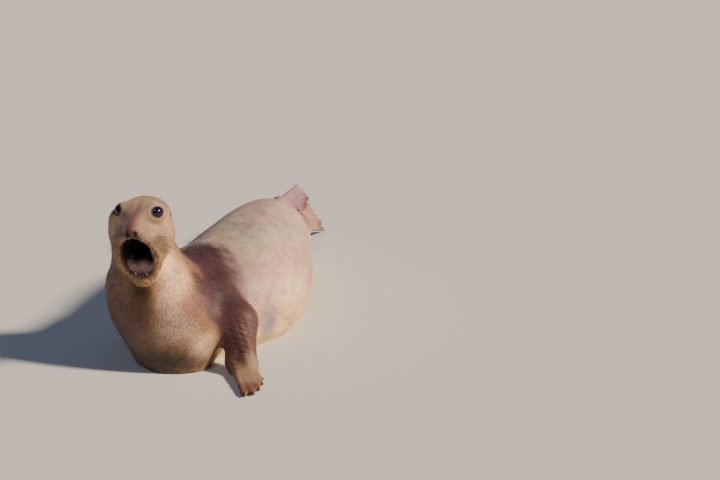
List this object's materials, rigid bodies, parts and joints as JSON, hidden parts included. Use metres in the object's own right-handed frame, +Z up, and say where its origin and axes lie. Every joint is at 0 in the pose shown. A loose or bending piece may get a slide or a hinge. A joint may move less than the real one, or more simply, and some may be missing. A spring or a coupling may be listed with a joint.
{
  "type": "elephant seal",
  "caption": "Life-size still female elephant seal, chest raised on one fore flipper, head turned, mouth open, hind flippers spread behind.",
  "frame": {"origin": "centre of the bounding box on the floor, under the belly", "axes": "+Z up, -Y towards the chest and head, +X towards the animal's left flank"},
  "size_m": [0.8649, 2.873, 0.8204],
  "materials": {
    "face_coat": "short flat fur, golden brown, slightly damp",
    "body_coat": "short flat fur, silver-tan back, golden-brown neck and chest",
    "flipper_hide": "creased mauve-brown skin with very short fur",
    "tongue": "wet pinkish grey",
    "eye": "wet, almost black"
  },
  "bodies": {
    "root": {"head": "face_coat", "lower_jaw": "face_coat", "tongue": "tongue", "eye_left": "eye", "eye_right": "eye", "neck": "body_coat", "chest": "body_coat", "torso": "body_coat", "hips": "body_coat", "tail": "body_coat", "fore_flipper_left": "flipper_hide", "fore_flipper_right": "flipper_hide", "hind_flipper_left": "flipper_hide", "hind_flipper_right": "flipper_hide"}
  },
  "joints": []
}
